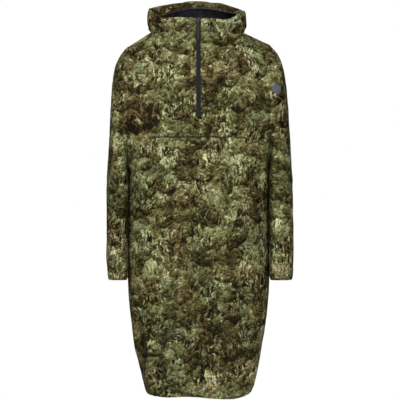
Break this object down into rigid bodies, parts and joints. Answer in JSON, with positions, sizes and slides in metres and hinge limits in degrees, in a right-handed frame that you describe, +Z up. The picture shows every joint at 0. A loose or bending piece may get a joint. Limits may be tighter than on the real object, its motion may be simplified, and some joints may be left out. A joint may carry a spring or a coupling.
{
  "type": "rain poncho",
  "caption": "Hooded pullover rain poncho with set-in sleeves, half zip, a pocket mouth across the chest and a knee-length cocoon body.",
  "frame": {"origin": "middle of the neck, at the height where the garment rests on the wearer's shoulders", "axes": "+Z up along the garment, +X to the wearer's left, the front faces -Y"},
  "size_m": [0.5405, 0.2791, 1.1445],
  "materials": {
    "printed_shell": "tightly woven waterproof polyester with a soft matt face and an all-over print",
    "dark_lining": "thin plain lining, charcoal, faint sheen",
    "grey_transfer": "thin heat-pressed disc, smooth and slightly reflective",
    "zip_tape": "water-repellent coated woven tape, black",
    "zip_teeth": "nylon coil, black",
    "zip_metal": "gunmetal lacquered die cast",
    "zip_pull": "moulded pull, black, fine ribs"
  },
  "bodies": {
    "garment": {"front_panel": "printed_shell", "back_panel": "printed_shell", "sleeve_right": "printed_shell", "cuff_right": "printed_shell", "hood_right": "printed_shell", "sleeve_left": "printed_shell", "cuff_left": "printed_shell", "hood_left": "printed_shell", "hood_lining": "dark_lining", "pocket_welt": "printed_shell", "sleeve_transfer": "grey_transfer", "zip_tape_right": "zip_tape", "zip_tape_left": "zip_tape", "zip_chain": "zip_teeth", "zip_end_patch": "zip_tape", "zip_slider": "zip_metal"},
    "pull_tab": {"zip_pull": "zip_pull"}
  },
  "joints": [
    {"name": "pull_swing", "type": "hinge", "parent": "garment", "child": "pull_tab", "pos_m": [0, -0.06723, 0.03711], "axis": [-1, 0, 0], "range_deg": [0, 140]}
  ]
}
